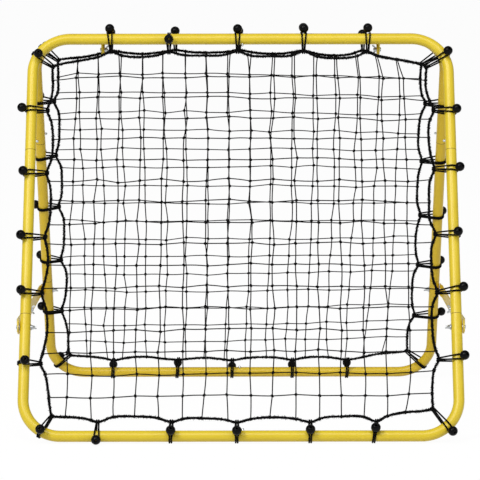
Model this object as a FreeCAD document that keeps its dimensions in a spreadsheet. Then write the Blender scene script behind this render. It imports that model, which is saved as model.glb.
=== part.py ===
import FreeCAD, Part
import Sketcher
import math
import os

# Pitch back rebounder: two round-cornered tube frames that lean on each other as an A, each
# strung with a square-mesh net that ball bungees pull outwards all round. Two hinges join the
# top bars, and a pair of flat brace bars on each side holds the feet apart and folds with them.
# World: X across, front frame at -Y, Z up from the floor. A frame's own plane: x across, y up
# along the frame from the bottom bar's axis, z out of the A.

doc = FreeCAD.newDocument("pitch_back_rebounder")
sheet = doc.addObject("Spreadsheet::Sheet", "Sizes")
Vector = FreeCAD.Vector

# Driving sizes in millimetres and degrees.
SIZES = [
    ("frame_width", 1000.0),
    ("frame_height", 990.0),
    ("tube_diameter", 25.0),
    ("tube_wall", 1.2),
    ("corner_radius", 85.0),
    ("frame_lean", 25.8),
    ("top_spacing", 36.0),
    ("lower_seam", 284.0),
    ("post_length", 399.5),
    ("bar_seam", 24.0),
    ("swage_length", 58.0),
    ("swage_shoulder", 3.0),
    ("swage_gap", 0.2),
    ("seam_gap", 0.3),
    ("seat_gap", 0.2),
    ("pivot_drop", 25.0),
    ("ear_radius", 12.0),
    ("ear_thickness", 3.0),
    ("hinge_offset", 325.0),
    ("brace_height", 254.0),
    ("knee_sag", 5.0),
    ("bar_width", 30.0),
    ("bar_thickness", 2.5),
    ("bar_gap", 0.3),
    ("crank_start", 18.0),
    ("crank_length", 14.0),
    ("washer_diameter", 14.0),
    ("washer_thickness", 1.3),
    ("bolt_diameter", 6.0),
    ("bolt_fit", 0.05),
    ("frame_hole_fit", 0.2),
    ("head_diameter", 11.0),
    ("head_height", 3.5),
    ("nut_diameter", 10.0),
    ("nut_height", 6.0),
    ("wing_span", 22.0),
    ("wing_height", 11.0),
    ("wing_thickness", 2.0),
    ("thread_end", 2.0),
    ("button_diameter", 5.8),
    ("button_flange", 7.2),
    ("button_fit", 0.1),
    ("button_rise", 5.5),
    ("post_button", 23.5),
    ("bar_button", 4.0),
    ("clip_length", 42.0),
    ("clip_tail", 6.0),
    ("clip_reach", 8.0),
    ("clip_width", 8.0),
    ("clip_thickness", 0.8),
    ("rope_diameter", 6.0),
    ("twine_diameter", 2.0),
    ("cord_diameter", 3.6),
    ("cord_gap", 0.3),
    ("cord_flat", 0.5),
    ("ball_diameter", 20.8),
    ("ball_bore", 5.0),
    ("cord_spread", 5.0),
    ("cord_pinch", 2.4),
    ("side_sag", 0.085),
    ("corner_sag", 0.03),
    ("sag_start", 0.22),
    ("border_bend", 20.0),
    ("net_side_inset", 49.75),
    ("net_bar_inset", 44.5),
    ("mesh_count", 17.0),
]
for row, (alias, value) in enumerate(SIZES, start=1):
    sheet.set(f"A{row}", alias)
    sheet.set(f"B{row}", str(value))
    sheet.setAlias(f"B{row}", alias)
doc.recompute()


def size(alias):
    """A driving size read from the sheet."""
    return float(sheet.get(alias))


# Expressions that several sub-parts share.
TUBE_R = "Sizes.tube_diameter / 2"
BORE_R = "(Sizes.tube_diameter / 2 - Sizes.tube_wall)"
SWAGE_R = f"({BORE_R} - Sizes.swage_gap)"
SWAGE_BORE_R = f"({SWAGE_R} - Sizes.tube_wall)"
POST_AT = "(Sizes.frame_width - Sizes.tube_diameter) / 2"
TOP_AT = "(Sizes.frame_height - Sizes.tube_diameter)"
UPPER_SEAM = "(Sizes.lower_seam + Sizes.post_length)"
UPPER_SEAM_DEPTH = f"({TOP_AT} - {UPPER_SEAM})"
POST_BUTTON_AT = f"({UPPER_SEAM} + Sizes.post_button)"
BOLT_R = "Sizes.bolt_diameter / 2"
EAR_REACH = "sqrt((Sizes.top_spacing / 2) ^ 2 + Sizes.pivot_drop ^ 2)"
BAR_SPAN = f"(Sizes.top_spacing / 2 + ({TOP_AT} - Sizes.brace_height) * sin(Sizes.frame_lean))"
BAR_LENGTH = f"sqrt({BAR_SPAN} ^ 2 + Sizes.knee_sag ^ 2)"
REAR_CRANK = ("(Sizes.cord_gap + Sizes.cord_diameter + Sizes.bar_gap - 2 * Sizes.seat_gap"
              " - Sizes.washer_thickness)")
FRONT_CRANK = f"({REAR_CRANK} + Sizes.bar_thickness + Sizes.bar_gap)"

# Lengths that place one sub-part against another.
TUBE = size("tube_diameter") / 2
POST_X = size("frame_width") / 2 - TUBE
TOP_Y = size("frame_height") - size("tube_diameter")
CORNER = size("corner_radius")
LEAN = math.radians(size("frame_lean"))
HALF_FEET = size("top_spacing") / 2 + TOP_Y * math.sin(LEAN)
CORD = size("cord_diameter") / 2
ROPE = size("rope_diameter") / 2
BALL = size("ball_diameter") / 2
CORD_GAP = size("cord_gap")
AXIS_Z = TUBE + CORD_GAP + 2 * CORD - size("cord_flat")
TOP_Z = AXIS_Z + TOP_Y * math.cos(LEAN)
PIVOT_Z = TOP_Z - size("pivot_drop")
SEAT = size("seat_gap")
BAR_GAP = size("bar_gap")

# Brace bars: the post pivot in the side view, and the planes the bars lie in, measured from
# the middle of the object. The rear bars run just outside the bungee cords, the front bars
# outside the rear ones, and both are cranked in to the posts at their pivots.
BRACE_Y = HALF_FEET - size("brace_height") * math.sin(LEAN)
BRACE_Z = AXIS_Z + size("brace_height") * math.cos(LEAN)
BRACE_LENGTH = math.hypot(BRACE_Y, size("knee_sag"))
BRACE_TILT = math.degrees(math.asin(size("knee_sag") / BRACE_LENGTH))
KNEE_Z = BRACE_Z - size("knee_sag")
PIVOT_PLANE = POST_X + TUBE + 2 * SEAT + size("washer_thickness")
REAR_RUN = POST_X + TUBE + CORD_GAP + 2 * CORD + BAR_GAP
FRONT_RUN = REAR_RUN + size("bar_thickness") + BAR_GAP

FRONT = FreeCAD.Placement(Vector(0, -HALF_FEET, AXIS_Z),
                          FreeCAD.Rotation(Vector(1, 0, 0), 90 - size("frame_lean")))
HALF_TURN = FreeCAD.Placement(Vector(0, 0, 0), FreeCAD.Rotation(Vector(0, 0, 1), 180))
FRAMES = {"front": FRONT, "rear": HALF_TURN.multiply(FRONT)}
SIDES = {"left": -1, "right": 1}
sub_parts = []


def turned(axis, degrees, base=(0, 0, 0)):
    """A placement that turns about an axis through the origin, then moves to base."""
    return FreeCAD.Placement(Vector(*base), FreeCAD.Rotation(Vector(*axis), degrees))


def body_at(label, placement, kept=True):
    """A body with its label and place. A kept one is a sub-part by itself."""
    body = doc.addObject("PartDesign::Body", label)
    body.Label = label
    body.Placement = placement
    if kept:
        sub_parts.append(body)
    return body


def sketch_on(body, plane, offset=None):
    """A sketch on one of the body's own origin planes, moved along its normal."""
    sketch = body.newObject("Sketcher::SketchObject", body.Name + "_sketch")
    origin_plane = [item for item in body.Origin.OriginFeatures if item.Role == plane][0]
    sketch.AttachmentSupport = [(origin_plane, "")]
    sketch.MapMode = "FlatFace"
    if offset:
        sketch.setExpression("AttachmentOffset.Base.z", offset)
    return sketch


def worked_out(expression):
    """The number that an expression gives."""
    return float(sheet.evalExpression(expression))


def bind(sketch, kind, places, expression):
    """Adds a constraint whose size follows the expression."""
    index = sketch.addConstraint(Sketcher.Constraint(kind, *places, worked_out(expression)))
    sketch.setExpression(f"Constraints[{index}]", expression)


def pin_point(sketch, item, end, x, y):
    """Holds a point of the sketch at the place that two expressions give."""
    for kind, axis, expression in (("DistanceX", -2, x), ("DistanceY", -1, y)):
        value = worked_out(expression)
        if abs(value) < 1e-9:
            sketch.addConstraint(Sketcher.Constraint("PointOnObject", item, end, axis))
        elif value > 0:
            bind(sketch, kind, (-1, 1, item, end), expression)
        else:
            bind(sketch, kind, (item, end, -1, 1), f"-({expression})")


def draw_circle(sketch, x, y, diameter):
    """A circle of a bound place and diameter."""
    centre = Vector(worked_out(x), worked_out(y), 0)
    item = sketch.addGeometry(Part.Circle(centre, Vector(0, 0, 1), worked_out(diameter) / 2), False)
    bind(sketch, "Diameter", (item,), diameter)
    pin_point(sketch, item, 3, x, y)


def draw_polygon(sketch, points):
    """A closed outline of straight edges, each corner held by two expressions."""
    spots = [Vector(worked_out(x), worked_out(y), 0) for x, y in points]
    first = sketch.GeometryCount
    for start, end in zip(spots, spots[1:] + spots[:1]):
        sketch.addGeometry(Part.LineSegment(start, end), False)
    for step, (x, y) in enumerate(points):
        before = first + (step - 1) % len(points)
        sketch.addConstraint(Sketcher.Constraint("Coincident", before, 2, first + step, 1))
        pin_point(sketch, first + step, 1, x, y)


def draw_half_round(sketch, centre_x, radius, way):
    """A half circle about a point on the x axis, bulging towards way, and its end points' item."""
    centre = Vector(worked_out(centre_x), 0, 0)
    start = -math.pi / 2 if way > 0 else math.pi / 2
    circle = Part.Circle(centre, Vector(0, 0, 1), worked_out(radius))
    item = sketch.addGeometry(Part.ArcOfCircle(circle, start, start + math.pi), False)
    pin_point(sketch, item, 3, centre_x, "0")
    bind(sketch, "Radius", (item,), radius)
    sketch.addConstraint(Sketcher.Constraint("Vertical", item, 3, item, 1))
    sketch.addConstraint(Sketcher.Constraint("Vertical", item, 3, item, 2))
    return item


def revolved(body, sketch):
    """Turns the sketch's outline about its own vertical axis."""
    feature = body.newObject("PartDesign::Revolution", body.Name + "_turning")
    feature.Profile = sketch
    feature.ReferenceAxis = (sketch, ["V_Axis"])
    feature.Angle = 360
    sketch.Visibility = False
    return feature


def padded(body, sketch, length, midplane=False, backwards=False):
    """Pads the sketch by a bound length."""
    feature = body.newObject("PartDesign::Pad", body.Name + "_pad")
    feature.Profile = sketch
    feature.setExpression("Length", length)
    feature.Midplane = midplane
    feature.Reversed = backwards
    return feature


def pocketed(body, sketch, length=None):
    """Cuts the sketch through both ways, or for a bound length against its normal."""
    feature = body.newObject("PartDesign::Pocket", body.Name + "_pocket")
    feature.Profile = sketch
    if length:
        feature.setExpression("Length", length)
    else:
        feature.Type = "ThroughAll"
        feature.Midplane = True
    return feature


def piped(body, kind, profile, spine):
    """Runs a round profile along a bent path."""
    feature = body.newObject(f"PartDesign::{kind}", body.Name + "_pipe")
    feature.Profile = profile
    feature.Spine = (spine, ["Edge1", "Edge2", "Edge3"])
    return feature


def bent_path(body, seam, bar_end):
    """The corner's centreline: down the post from its seam, round the bend, in along the bar."""
    sketch = sketch_on(body, "XY_Plane")
    bend = f"({POST_AT} - Sizes.corner_radius)"
    post, corner, inner = worked_out(POST_AT), worked_out("Sizes.corner_radius"), worked_out(bend)
    sketch.addGeometry(Part.LineSegment(Vector(post, worked_out(seam), 0), Vector(post, corner, 0)), False)
    circle = Part.Circle(Vector(inner, corner, 0), Vector(0, 0, 1), corner)
    sketch.addGeometry(Part.ArcOfCircle(circle, -math.pi / 2, 0), False)
    sketch.addGeometry(Part.LineSegment(Vector(inner, 0, 0), Vector(worked_out(bar_end), 0, 0)), False)
    pin_point(sketch, 0, 1, POST_AT, seam)
    sketch.addConstraint(Sketcher.Constraint("Vertical", 0))
    pin_point(sketch, 1, 3, bend, "Sizes.corner_radius")
    sketch.addConstraint(Sketcher.Constraint("Coincident", 0, 2, 1, 2))
    sketch.addConstraint(Sketcher.Constraint("Horizontal", 1, 3, 1, 2))
    sketch.addConstraint(Sketcher.Constraint("Coincident", 2, 1, 1, 1))
    sketch.addConstraint(Sketcher.Constraint("Vertical", 1, 3, 1, 1))
    sketch.addConstraint(Sketcher.Constraint("Horizontal", 2))
    place = ("DistanceX", (-1, 1, 2, 2), bar_end) if worked_out(bar_end) > 0 else (
        "DistanceX", (2, 2, -1, 1), f"-({bar_end})")
    bind(sketch, *place)
    return sketch


def round_profile(body, seam, radius):
    """The tube's section at the post's seam."""
    sketch = sketch_on(body, "XZ_Plane", f"-({seam})")
    draw_circle(sketch, POST_AT, "0", f"2 * {radius}")
    return sketch


def corner_tube(label, placement, seam, swaged, post_hole):
    """A bent corner with its half of the bar. The left ones carry the narrowed end that slides
    into the right ones, and every corner takes a post's narrowed end at its seam."""
    body = body_at(label, placement)
    bar_end = "(Sizes.bar_seam + Sizes.seam_gap)" if swaged else "-Sizes.bar_seam"
    piped(body, "AdditivePipe", round_profile(body, seam, f"({TUBE_R})"), bent_path(body, seam, bar_end))
    bore_end = f"({bar_end} + Sizes.swage_shoulder)" if swaged else bar_end
    if swaged:
        spigot = sketch_on(body, "YZ_Plane", bar_end)
        draw_circle(spigot, "0", "0", f"2 * {SWAGE_R}")
        padded(body, spigot, "Sizes.swage_length", backwards=True)
    piped(body, "SubtractivePipe", round_profile(body, seam, BORE_R), bent_path(body, seam, bore_end))
    if swaged:
        throat = sketch_on(body, "YZ_Plane", bore_end)
        draw_circle(throat, "0", "0", f"2 * {SWAGE_BORE_R}")
        pocketed(body, throat, "Sizes.swage_length + 2 * Sizes.swage_shoulder")
    if post_hole == "bolt":
        bolt_hole = sketch_on(body, "YZ_Plane", POST_AT)
        draw_circle(bolt_hole, "Sizes.brace_height", "0", "Sizes.bolt_diameter + 2 * Sizes.frame_hole_fit")
        pocketed(body, bolt_hole, None)
    else:
        button_hole = sketch_on(body, "YZ_Plane", POST_AT)
        draw_circle(button_hole, f"{TOP_AT} - {POST_BUTTON_AT}", "0",
                    "Sizes.button_diameter + 2 * Sizes.button_fit")
        pocketed(body, button_hole, "Sizes.tube_diameter")
    bar_hole = sketch_on(body, "XZ_Plane")
    draw_circle(bar_hole, "-Sizes.bar_button" if swaged else "Sizes.bar_button", "0",
                "Sizes.button_diameter + 2 * Sizes.button_fit")
    pocketed(body, bar_hole, "Sizes.tube_diameter")


def side_post(label, placement):
    """A straight post, narrowed at both ends to slide into the corner tubes."""
    body = body_at(label, placement)
    low, high = "(Sizes.lower_seam + Sizes.seam_gap)", f"({UPPER_SEAM} - Sizes.seam_gap)"
    foot, head = f"({low} - Sizes.swage_length)", f"({high} + Sizes.swage_length)"
    section = sketch_on(body, "XY_Plane")
    draw_polygon(section, [
        (SWAGE_BORE_R, foot), (SWAGE_R, foot), (SWAGE_R, low), (TUBE_R, low),
        (TUBE_R, high), (SWAGE_R, high), (SWAGE_R, head), (SWAGE_BORE_R, head),
        (SWAGE_BORE_R, f"{high} - Sizes.swage_shoulder"), (BORE_R, f"{high} - Sizes.swage_shoulder"),
        (BORE_R, f"{low} + Sizes.swage_shoulder"), (SWAGE_BORE_R, f"{low} + Sizes.swage_shoulder")])
    revolved(body, section)
    bolt_hole = sketch_on(body, "YZ_Plane")
    draw_circle(bolt_hole, "Sizes.brace_height", "0", "Sizes.bolt_diameter + 2 * Sizes.frame_hole_fit")
    pocketed(body, bolt_hole)
    button_hole = sketch_on(body, "YZ_Plane")
    draw_circle(button_hole, POST_BUTTON_AT, "0", "Sizes.button_diameter + 2 * Sizes.button_fit")
    pocketed(body, button_hole, "Sizes.tube_diameter")


def hinge_ear(label, placement):
    """A flat ear, cupped to the tube that it is welded under, with the pivot's hole."""
    body = body_at(label, placement)
    outline = sketch_on(body, "YZ_Plane")
    nose = draw_half_round(outline, EAR_REACH, "Sizes.ear_radius", 1)
    reach, radius = worked_out(EAR_REACH), size("ear_radius")
    low = outline.addGeometry(Part.LineSegment(Vector(0, -radius, 0), Vector(reach, -radius, 0)), False)
    high = outline.addGeometry(Part.LineSegment(Vector(reach, radius, 0), Vector(0, radius, 0)), False)
    back = outline.addGeometry(Part.LineSegment(Vector(0, radius, 0), Vector(0, -radius, 0)), False)
    for one, other in (((low, 2), (nose, 1)), ((high, 1), (nose, 2)), ((back, 1), (high, 2)),
                       ((back, 2), (low, 1))):
        outline.addConstraint(Sketcher.Constraint("Coincident", *one, *other))
    outline.addConstraint(Sketcher.Constraint("Horizontal", low))
    outline.addConstraint(Sketcher.Constraint("Horizontal", high))
    for line, end in ((low, 1), (high, 2)):
        outline.addConstraint(Sketcher.Constraint("PointOnObject", line, end, -2))
    draw_circle(outline, EAR_REACH, "0", "Sizes.bolt_diameter + 2 * Sizes.bolt_fit")
    padded(body, outline, "Sizes.ear_thickness", midplane=True)
    cup = sketch_on(body, "YZ_Plane")
    draw_circle(cup, "0", "0", "Sizes.tube_diameter + 2 * Sizes.seat_gap")
    pocketed(body, cup)


def bolt(label, placement, length, kept=True):
    """A pan-headed bolt: the head below its local origin and the shank up its local y axis."""
    body = body_at(label, placement, kept)
    section = sketch_on(body, "XY_Plane")
    head = "Sizes.head_diameter / 2"
    draw_polygon(section, [
        ("0", "-Sizes.head_height"), (f"0.62 * {head}", "-Sizes.head_height"),
        (f"0.9 * {head}", "-0.72 * Sizes.head_height"), (head, "-0.3 * Sizes.head_height"), (head, "0"),
        (BOLT_R, "0"), (BOLT_R, f"{length} - 0.5"), (f"{BOLT_R} - 0.5", length), ("0", length)])
    revolved(body, section)
    return body


def stud(label, placement, length):
    """The threaded half of a knee bolt, a plain round pin up its local y axis."""
    body = body_at(label, placement)
    section = sketch_on(body, "XY_Plane")
    draw_polygon(section, [("0", "0"), (BOLT_R, "0"), (BOLT_R, f"{length} - 0.5"),
                           (f"{BOLT_R} - 0.5", length), ("0", length)])
    revolved(body, section)


def washer(label, placement):
    """A plain washer up its local y axis."""
    body = body_at(label, placement, kept=False)
    section = sketch_on(body, "XY_Plane")
    bore, rim = f"{BOLT_R} + Sizes.frame_hole_fit", "Sizes.washer_diameter / 2"
    draw_polygon(section, [(bore, "0"), (rim, "0"), (rim, "Sizes.washer_thickness"),
                           (bore, "Sizes.washer_thickness")])
    revolved(body, section)
    return body


def wing_nut(label, placement):
    """A wing nut up its local y axis: a tapered boss with two flared wings and a bore."""
    body = body_at(label, placement)
    boss = sketch_on(body, "XY_Plane")
    bore, wide = f"{BOLT_R} + Sizes.bolt_fit", "Sizes.nut_diameter / 2"
    draw_polygon(boss, [(bore, "0"), (wide, "0"), (wide, "0.25 * Sizes.nut_height"),
                        (f"0.8 * {wide}", "Sizes.nut_height"), (bore, "Sizes.nut_height")])
    revolved(body, boss)
    wings = sketch_on(body, "XY_Plane")
    tip = "Sizes.wing_span / 2"
    for way in ("", "-"):
        draw_polygon(wings, [
            (f"{way}0.78 * {wide}", "0.2 * Sizes.nut_height"),
            (f"{way}0.78 * {tip}", "0.42 * Sizes.wing_height"),
            (f"{way}{tip}", "0.72 * Sizes.wing_height"),
            (f"{way}0.97 * {tip}", "0.94 * Sizes.wing_height"),
            (f"{way}0.82 * {tip}", "Sizes.wing_height"),
            (f"{way}0.62 * {tip}", "0.88 * Sizes.wing_height"),
            (f"{way}0.78 * {wide}", "0.92 * Sizes.nut_height")])
    padded(body, wings, "Sizes.wing_thickness", midplane=True)


def brace_bar(label, placement, offset):
    """A flat bar up its local y axis from the post's pivot to the knee, round at both ends and
    cranked outwards by the offset just past the pivot."""
    body = body_at(label, placement)
    half, full = "Sizes.bar_width / 2", f"({offset} + Sizes.bar_thickness)"
    length = BAR_LENGTH
    outline = sketch_on(body, "YZ_Plane")
    foot = draw_half_round(outline, "0", half, -1)
    knee = draw_half_round(outline, length, half, 1)
    reach, radius = worked_out(length), size("bar_width") / 2
    low = outline.addGeometry(Part.LineSegment(Vector(0, -radius, 0), Vector(reach, -radius, 0)), False)
    high = outline.addGeometry(Part.LineSegment(Vector(reach, radius, 0), Vector(0, radius, 0)), False)
    for one, other in (((low, 1), (foot, 2)), ((low, 2), (knee, 1)), ((high, 1), (knee, 2)),
                       ((high, 2), (foot, 1))):
        outline.addConstraint(Sketcher.Constraint("Coincident", *one, *other))
    for place in ("0", length):
        draw_circle(outline, place, "0", "Sizes.bolt_diameter + 2 * Sizes.bolt_fit")
    padded(body, outline, full)
    waste = sketch_on(body, "XY_Plane")
    past = f"({length} + Sizes.bar_width)"
    end = "(Sizes.crank_start + Sizes.crank_length)"
    draw_polygon(waste, [
        ("Sizes.bar_thickness", "-Sizes.bar_width"), ("Sizes.bar_thickness", "Sizes.crank_start"),
        (full, end), (f"{full} + 1", end), (f"{full} + 1", "-Sizes.bar_width")])
    draw_polygon(waste, [
        ("0", "Sizes.crank_start"), (offset, end), (offset, past), ("-1", past), ("-1", "Sizes.crank_start")])
    pocketed(body, waste)


def snap_button(label, placement):
    """A domed button that rises through both tubes, with a flange that the inner one holds."""
    body = body_at(label, placement)
    section = sketch_on(body, "XY_Plane")
    stem, flange = "Sizes.button_diameter / 2", "Sizes.button_flange / 2"
    seat = "(Sizes.clip_reach + Sizes.seat_gap)"
    rim = f"({seat} + Sizes.clip_thickness - Sizes.seat_gap)"
    top = f"({TUBE_R} + Sizes.button_rise)"
    draw_polygon(section, [
        ("0", seat), (flange, seat), (flange, rim), (stem, rim), (stem, f"{top} - 0.62 * {stem}"),
        (f"0.9 * {stem}", f"{top} - 0.32 * {stem}"), (f"0.6 * {stem}", f"{top} - 0.08 * {stem}"),
        (f"0.3 * {stem}", top), ("0", top)])
    revolved(body, section)


def button_clip(label, placement):
    """The hairpin of spring strip inside the inner tube that pushes a button out."""
    body = body_at(label, placement, kept=False)
    section = sketch_on(body, "XY_Plane")
    tail, bend = "Sizes.clip_tail", "-Sizes.clip_length"
    high, strip = "Sizes.clip_reach", "Sizes.clip_thickness"
    low = f"-({SWAGE_BORE_R} - {strip} - 0.1)"
    draw_polygon(section, [
        (tail, high), (f"-{tail}", high), (f"{bend} + 4", "4"), (f"{bend} + 1", "2.6"), (bend, "0.1"),
        (f"{bend} + 1", "-2.6"), (f"{bend} + 4", "-4"), (tail, low),
        (tail, f"{low} + {strip}"), (f"{bend} + 4.3", f"-4 + {strip}"), (f"{bend} + 1.8", "-1.9"),
        (f"{bend} + {strip}", "0.2"), (f"{bend} + 1.8", "1.9"), (f"{bend} + 4.3", f"4 - {strip}"),
        (f"-{tail}", f"{high} - {strip}"), (tail, f"{high} - {strip}")])
    padded(body, section, "Sizes.clip_width", midplane=True)
    return body


def grouped(label, bodies):
    """Like pieces on one body of the object, kept as separate solids of one sub-part."""
    group = doc.addObject("Part::Compound", label)
    group.Label = label
    group.Links = bodies
    sub_parts.append(group)


def ring_of_cord(points, radii):
    """A closed path through flat points, each corner rounded to its radius."""
    edges, ends = [], []
    for before, here, after, radius in zip(points[-1:] + points[:-1], points, points[1:] + points[:1], radii):
        back, on = (before - here).normalize(), (after - here).normalize()
        half = (math.pi - back.getAngle(on)) / 2
        reach = radius * math.tan(half)
        middle = (back + on).normalize() * (radius / math.cos(half) - radius)
        ends.append((here + back * reach, here + middle, here + on * reach))
    for (start, middle, end), (onward, _, _) in zip(ends, ends[1:] + ends[:1]):
        edges.append(Part.Arc(start, middle, end).toShape())
        edges.append(Part.makeLine(end, onward))
    return Part.Wire(edges)


def swept(path, radius):
    """A round cord along a closed path that starts and ends on a smooth point."""
    start = path.OrderedEdges[0]
    centre = start.valueAt(start.FirstParameter)
    heading = start.tangentAt(start.FirstParameter)
    profile = Part.Wire([Part.makeCircle(radius, centre, heading)])
    cord = path.makePipeShell([profile], True, False)
    expected = math.pi * radius ** 2 * path.Length
    if not cord.isValid() or abs(cord.Volume / expected - 1) > 0.002:
        raise RuntimeError(f"cord volume {cord.Volume:.1f}, expected {expected:.1f}")
    return cord


def flat(x, y):
    """A point in the frame's own plane."""
    return Vector(x, y, 0)


# Where the bungees hook. On a straight side: the place on the tube and the place on the border
# rope, both in millimetres along the side from its middle or from the bottom bar, then how far in
# from the tube's axis the rope hangs there. At a corner: the angle round the bend, then the border
# rope's own corner point as its distances in from the nearest post and bar. The last number is how
# far the ball has rolled over the tube from straight outwards, in degrees. The places along a side
# are those of a frame with these tube axes, and spread out with a larger one.
LISTED_HALF_WIDTH = 487.5
LISTED_HEIGHT = 965.0
BUNGEES = {
    "front": {
        "top": [(-307, -305, 31, 8), (-168.5, -168.5, 32, 118), (-7, -7, 30.5, 2),
                (149, 148.5, 31, 6), (299.5, 299, 32, 16)],
        "bottom": [(-321, -319.5, 32, 58), (-156.5, -155, 32, 105), (-9.5, -9, 31, 103),
                   (154, 154.5, 31.5, 110), (297, 302, 32.5, 130)],
        "left": [(785, 784.5, 36, 37), (626, 628, 38.5, 59), (469.5, 471, 38.5, 57),
                 (336, 336, 34.5, 68), (169.5, 169, 35.5, 98)],
        "right": [(780, 783.5, 36.5, 57), (635.5, 637, 39.5, 49), (475, 477, 40.5, 72),
                  (341.5, 336.5, 40.5, 51), (180, 177.5, 41.5, 58)],
        "corners": [("upper", "right", 27.5, 51.5, 71, 70), ("upper", "left", 151.5, 46.5, 69, 100),
                    ("lower", "left", 240.5, 64.5, 46, 86), ("lower", "right", 311.5, 59, 62, 45)],
    },
    "rear": {
        "top": [(-290, -291, 31, 93), (-149, -149.5, 31, 20), (4, 3, 30, 74),
                (155.5, 155, 29.5, 73), (308.5, 307.5, 30.5, 80)],
        "bottom": [(-272.5, -274.5, 37.5, 126), (-131.5, -132, 37, 101), (23.5, 22.5, 36, 90),
                   (164.5, 161, 38.5, 130), (331, 328, 36.5, 103)],
        "left": [(788, 789, 41.5, 82), (631, 629, 44.5, 78), (473, 474, 42, 60),
                 (328, 328.5, 42.5, 56), (176.5, 175.5, 46.5, 33)],
        "right": [(798, 797, 37, 95), (642, 646, 35.5, 91), (498, 500, 36.5, 36),
                  (345, 344, 35.5, 53), (192, 190.5, 31.5, 42)],
        "corners": [("upper", "right", 41, 52, 56, 98), ("upper", "left", 148, 56, 68, 100),
                    ("lower", "left", 223, 62, 64, 57), ("lower", "right", 320.5, 47, 53, 94)],
    },
}


def hooks_of(places):
    """Every bungee of a frame in turn round it: the rope's point, the tube's point, the way
    straight out through the tube there, the ball's roll, and the bend's centre at a corner."""
    hooks = []
    spread = POST_X / LISTED_HALF_WIDTH
    for side, height, way in (("bottom", 0, -1), ("top", TOP_Y, 1)):
        for on_tube, on_rope, draw, roll in places[side]:
            rope, tube = flat(on_rope * spread, height - way * draw), flat(on_tube * spread, height)
            hooks.append((rope, tube, flat(0, way), roll, None))
    spread = TOP_Y / LISTED_HEIGHT
    for side, sign in SIDES.items():
        for on_tube, on_rope, draw, roll in places[side]:
            rope, tube = flat(sign * (POST_X - draw), on_rope * spread), flat(sign * POST_X, on_tube * spread)
            hooks.append((rope, tube, flat(sign, 0), roll, None))
    for level, side, angle, in_from_post, in_from_bar, roll in places["corners"]:
        sign, high = SIDES[side], level == "upper"
        centre = flat(sign * (POST_X - CORNER), TOP_Y - CORNER if high else CORNER)
        way = flat(math.cos(math.radians(angle)), math.sin(math.radians(angle)))
        rope = flat(sign * (POST_X - in_from_post), TOP_Y - in_from_bar if high else in_from_bar)
        hooks.append((rope, centre + way * CORNER, way, roll, centre))
    middle = flat(0, TOP_Y / 2)
    hooks.sort(key=lambda hook: math.atan2(hook[0].y - middle.y, hook[0].x - middle.x))
    return hooks


def border_of(hooks):
    """The border rope's corner points with their bend radii, out at each bungee and sagging
    inwards along the span to the next, and the way that each bungee pulls it."""
    spans = []
    for hook, following in zip(hooks, hooks[1:] + hooks[:1]):
        here, after = hook[0], following[0]
        run = after - here
        sag = size("corner_sag") if hook[4] or following[4] else size("side_sag")
        inwards = flat(-run.y, run.x) * sag
        spans.append((here + run * size("sag_start") + inwards, after - run * size("sag_start") + inwards))
    peaks, bends, pulls = [], [], []
    for hook, before, after in zip(hooks, spans[-1:] + spans[:-1], spans):
        peak = hook[0]
        for _ in range(6):
            back, on = before[1] - peak, after[0] - peak
            half = (math.pi - back.getAngle(on)) / 2
            bend = min(size("border_bend"), 0.5 * min(back.Length, on.Length) / math.tan(half))
            pull = (back.normalize() + on.normalize()).normalize() * -1
            peak = hook[0] + pull * (bend / math.cos(half) - bend)
        peaks.append(peak)
        bends.append(bend)
        pulls.append(pull)
    points, radii = [], []
    for peak, bend, span, following in zip(peaks, bends, spans, peaks[1:] + peaks[:1]):
        points.append(peak)
        radii.append(bend)
        for before, here, after in ((peak, span[0], span[1]), (span[0], span[1], following)):
            turn = math.pi - (before - here).getAngle(after - here)
            room = min((before - here).Length, (after - here).Length)
            points.append(here)
            radii.append(0.45 * room / math.tan(turn / 2))
    return points, radii, pulls


def moved_in(points, depths):
    """The outline with each corner moved in square to its edges by its depth."""
    moved = []
    for before, here, after, depth in zip(points[-1:] + points[:-1], points, points[1:] + points[:1], depths):
        first, second = (here - before).normalize(), (after - here).normalize()
        square = (flat(-first.y, first.x) + flat(-second.y, second.x)).normalize()
        lean = square.dot(flat(-first.y, first.x))
        moved.append(here + square * (depth / lean))
    return moved


def clipped(points, axis, limit, way):
    """The outline's part on one side of a straight line across x (axis 0) or y (axis 1)."""
    kept = []
    for here, after in zip(points, points[1:] + points[:1]):
        inside = way * (here[axis] - limit) >= 0
        if inside:
            kept.append(here)
        if inside != (way * (after[axis] - limit) >= 0):
            share = (limit - here[axis]) / (after[axis] - here[axis])
            kept.append(here + (after - here) * share)
    return kept


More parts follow.
